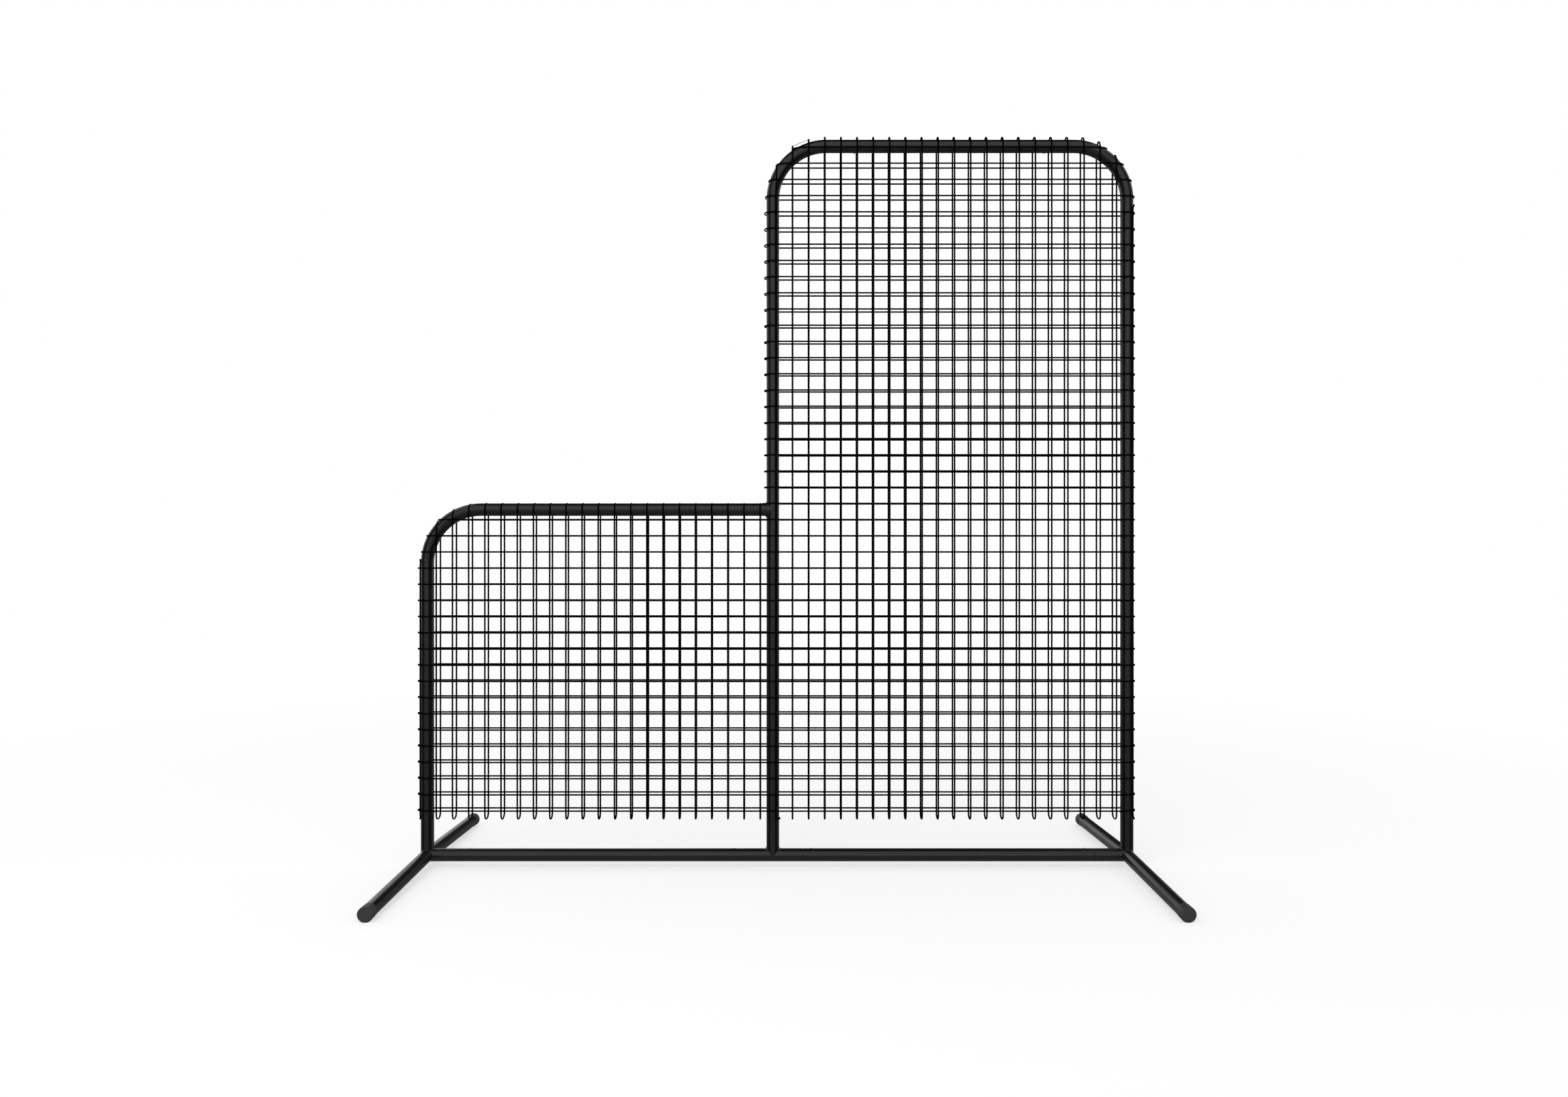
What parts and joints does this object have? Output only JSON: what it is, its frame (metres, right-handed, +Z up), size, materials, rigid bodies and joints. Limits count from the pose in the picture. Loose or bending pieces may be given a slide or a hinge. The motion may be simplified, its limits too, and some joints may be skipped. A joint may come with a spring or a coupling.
{
  "type": "pitching screen",
  "caption": "Free-standing L-shaped ball-stop screen: a tubular steel frame on four legs, a double net sleeve and an open notch to throw through.",
  "frame": {"origin": "middle of the screen on the ground, in the plane of the frame", "axes": "+X to the tall side, -Y out of the front that the picture shows, +Z up"},
  "size_m": [2.1427, 0.9912, 2.1826],
  "materials": {
    "powder_coat": "satin black powder coat",
    "foot_plastic": "matt",
    "button_steel": "zinc plated",
    "spring_steel": "bright rolled strip",
    "net_twine": "dull black twine"
  },
  "bodies": {
    "frame": {"left_hub": "powder_coat", "right_hub": "powder_coat", "crossbar_tee": "powder_coat", "middle_tee": "powder_coat", "left_crossbar": "powder_coat", "right_crossbar": "powder_coat", "short_top_bar": "powder_coat", "tall_top_bar": "powder_coat", "middle_lower_upright": "powder_coat", "right_lower_upright": "powder_coat", "left_upright": "powder_coat", "middle_upper_upright": "powder_coat", "right_upper_upright": "powder_coat", "net_short_panel": "net_twine", "net_tall_panel": "net_twine", "left_base_spring": "spring_steel", "left_rail_spring": "spring_steel", "right_base_spring": "spring_steel", "right_rail_spring": "spring_steel", "tee_left_spring": "spring_steel", "tee_right_spring": "spring_steel", "middle_base_spring": "spring_steel", "middle_below_spring": "spring_steel", "middle_above_spring": "spring_steel", "short_bar_tee_spring": "spring_steel", "short_corner_spring": "spring_steel", "tall_left_corner_spring": "spring_steel", "tall_right_corner_spring": "spring_steel", "right_middle_spring": "spring_steel"},
    "front_left_leg": {"front_left_leg": "powder_coat", "front_left_foot_cap": "foot_plastic"},
    "front_right_leg": {"front_right_leg": "powder_coat", "front_right_foot_cap": "foot_plastic"},
    "back_left_leg": {"back_left_leg": "powder_coat", "back_left_foot_cap": "foot_plastic"},
    "back_right_leg": {"back_right_leg": "powder_coat", "back_right_foot_cap": "foot_plastic"},
    "left_base_button": {"left_base_button": "button_steel"},
    "left_rail_button": {"left_rail_button": "button_steel"},
    "right_base_button": {"right_base_button": "button_steel"},
    "right_rail_button": {"right_rail_button": "button_steel"},
    "tee_left_button": {"tee_left_button": "button_steel"},
    "tee_right_button": {"tee_right_button": "button_steel"},
    "middle_base_button": {"middle_base_button": "button_steel"},
    "middle_below_button": {"middle_below_button": "button_steel"},
    "middle_above_button": {"middle_above_button": "button_steel"},
    "short_bar_tee_button": {"short_bar_tee_button": "button_steel"},
    "short_corner_button": {"short_corner_button": "button_steel"},
    "tall_left_corner_button": {"tall_left_corner_button": "button_steel"},
    "tall_right_corner_button": {"tall_right_corner_button": "button_steel"},
    "right_middle_button": {"right_middle_button": "button_steel"}
  },
  "joints": [
    {"name": "front_left_leg_pull", "type": "slide", "parent": "frame", "child": "front_left_leg", "axis": [0, -0.9995, -0.0303], "range_m": [0, 0.07]},
    {"name": "front_right_leg_pull", "type": "slide", "parent": "frame", "child": "front_right_leg", "axis": [0, -0.9995, -0.0303], "range_m": [0, 0.07]},
    {"name": "back_left_leg_pull", "type": "slide", "parent": "frame", "child": "back_left_leg", "axis": [0, 0.9995, -0.0303], "range_m": [0, 0.07]},
    {"name": "back_right_leg_pull", "type": "slide", "parent": "frame", "child": "back_right_leg", "axis": [0, 0.9995, -0.0303], "range_m": [0, 0.07]},
    {"name": "left_base_press", "type": "slide", "parent": "frame", "child": "left_base_button", "axis": [-0.7071, -0.7071, 0], "range_m": [0, 0.0052], "stiffness_N_per_m": 3000, "springref_m": -0.002, "deforming": ["left_base_spring"]},
    {"name": "left_rail_press", "type": "slide", "parent": "frame", "child": "left_rail_button", "axis": [0, -0.7071, -0.7071], "range_m": [0, 0.0052], "stiffness_N_per_m": 3000, "springref_m": -0.002, "deforming": ["left_rail_spring"]},
    {"name": "right_base_press", "type": "slide", "parent": "frame", "child": "right_base_button", "axis": [0.7071, -0.7071, 0], "range_m": [0, 0.0052], "stiffness_N_per_m": 3000, "springref_m": -0.002, "deforming": ["right_base_spring"]},
    {"name": "right_rail_press", "type": "slide", "parent": "frame", "child": "right_rail_button", "axis": [0, -0.7071, -0.7071], "range_m": [0, 0.0052], "stiffness_N_per_m": 3000, "springref_m": -0.002, "deforming": ["right_rail_spring"]},
    {"name": "tee_left_press", "type": "slide", "parent": "frame", "child": "tee_left_button", "axis": [0, -0.7071, -0.7071], "range_m": [0, 0.0052], "stiffness_N_per_m": 3000, "springref_m": -0.002, "deforming": ["tee_left_spring"]},
    {"name": "tee_right_press", "type": "slide", "parent": "frame", "child": "tee_right_button", "axis": [0, -0.7071, -0.7071], "range_m": [0, 0.0052], "stiffness_N_per_m": 3000, "springref_m": -0.002, "deforming": ["tee_right_spring"]},
    {"name": "middle_base_press", "type": "slide", "parent": "frame", "child": "middle_base_button", "axis": [-0.7071, -0.7071, 0], "range_m": [0, 0.0052], "stiffness_N_per_m": 3000, "springref_m": -0.002, "deforming": ["middle_base_spring"]},
    {"name": "middle_below_press", "type": "slide", "parent": "frame", "child": "middle_below_button", "axis": [-0.7071, -0.7071, 0], "range_m": [0, 0.0052], "stiffness_N_per_m": 3000, "springref_m": -0.002, "deforming": ["middle_below_spring"]},
    {"name": "middle_above_press", "type": "slide", "parent": "frame", "child": "middle_above_button", "axis": [-0.7071, -0.7071, 0], "range_m": [0, 0.0052], "stiffness_N_per_m": 3000, "springref_m": -0.002, "deforming": ["middle_above_spring"]},
    {"name": "short_bar_tee_press", "type": "slide", "parent": "frame", "child": "short_bar_tee_button", "axis": [0, -0.7071, 0.7071], "range_m": [0, 0.0052], "stiffness_N_per_m": 3000, "springref_m": -0.002, "deforming": ["short_bar_tee_spring"]},
    {"name": "short_corner_press", "type": "slide", "parent": "frame", "child": "short_corner_button", "axis": [0, -0.7071, 0.7071], "range_m": [0, 0.0052], "stiffness_N_per_m": 3000, "springref_m": -0.002, "deforming": ["short_corner_spring"]},
    {"name": "tall_left_corner_press", "type": "slide", "parent": "frame", "child": "tall_left_corner_button", "axis": [0, -0.7071, 0.7071], "range_m": [0, 0.0052], "stiffness_N_per_m": 3000, "springref_m": -0.002, "deforming": ["tall_left_corner_spring"]},
    {"name": "tall_right_corner_press", "type": "slide", "parent": "frame", "child": "tall_right_corner_button", "axis": [0, -0.7071, 0.7071], "range_m": [0, 0.0052], "stiffness_N_per_m": 3000, "springref_m": -0.002, "deforming": ["tall_right_corner_spring"]},
    {"name": "right_middle_press", "type": "slide", "parent": "frame", "child": "right_middle_button", "axis": [0.7071, -0.7071, 0], "range_m": [0, 0.0052], "stiffness_N_per_m": 3000, "springref_m": -0.002, "deforming": ["right_middle_spring"]}
  ]
}
